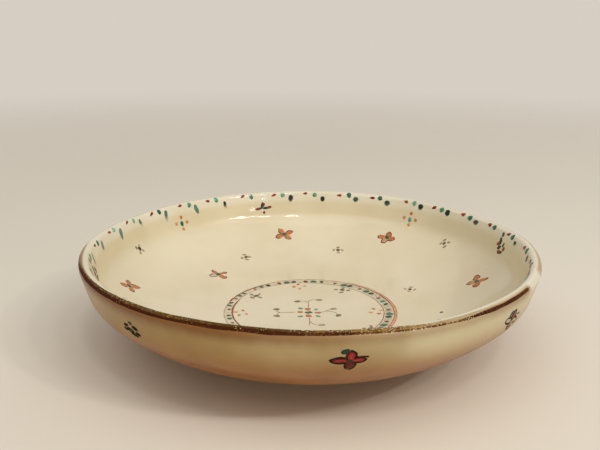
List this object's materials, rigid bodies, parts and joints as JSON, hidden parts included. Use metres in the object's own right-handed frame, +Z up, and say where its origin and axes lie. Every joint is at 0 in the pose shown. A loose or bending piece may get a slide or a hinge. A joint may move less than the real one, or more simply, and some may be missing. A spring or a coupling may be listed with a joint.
{
  "type": "deep plate",
  "caption": "Deep round plate with an upright lip on a turned foot ring, glazed all over and painted with enamel flowers, sprigs and dabs, for serving food.",
  "frame": {"origin": "middle of the resting face of the foot ring", "axes": "+Z up, out of the bowl; -Y is the front, the side nearest the camera in the picture"},
  "size_m": [0.21, 0.21, 0.0481],
  "materials": {
    "bare_clay": "matte, unglazed",
    "cream_glaze": "glossy cream glaze with fine specks",
    "iron_brown": "satin iron-brown brush line",
    "iron_wash": "thin mottled iron wash",
    "red_enamel": "rust-red enamel, thin at the edges",
    "orange_enamel": "orange-red enamel, watery",
    "green_enamel": "clear green enamel, raised",
    "dark_enamel": "dark grey-green enamel, watery",
    "grey_wash": "pale grey wash",
    "outline_brown": "fine brown brush line",
    "crimson_enamel": "bright red enamel, raised"
  },
  "bodies": {
    "root": {"clay_body": "bare_clay", "foot_ring": "bare_clay", "inner_glaze": "cream_glaze", "outer_glaze": "cream_glaze", "base_glaze": "cream_glaze", "lip_iron_line": "iron_brown", "lip_iron_wash": "iron_wash", "rim_red_dabs": "red_enamel", "rim_green_dabs": "green_enamel", "rim_dark_dabs": "dark_enamel", "medallion_outer_line": "red_enamel", "medallion_wash": "grey_wash", "medallion_inner_line": "red_enamel", "medallion_red_dabs": "red_enamel", "medallion_green_dabs": "green_enamel", "medallion_dark_dabs": "dark_enamel", "medallion_orange_dots": "orange_enamel", "medallion_dark_hearts": "red_enamel", "medallion_grey_dots": "dark_enamel", "centre_heart": "green_enamel", "centre_petals": "orange_enamel", "centre_leaves": "green_enamel", "centre_stems": "outline_brown", "centre_buds": "dark_enamel", "well_flower_petals": "orange_enamel", "well_flower_outlines": "outline_brown", "well_flower_hearts": "green_enamel", "well_sprig_hearts": "outline_brown", "well_sprig_dots": "dark_enamel", "wall_flower_petals": "red_enamel", "wall_flower_outlines": "dark_enamel", "wall_sprig_hearts": "green_enamel", "wall_sprig_dots": "orange_enamel", "outside_flower_petals": "crimson_enamel", "outside_flower_outlines": "outline_brown", "outside_flower_hearts": "outline_brown", "outside_flower_leaves": "green_enamel"}
  },
  "joints": []
}
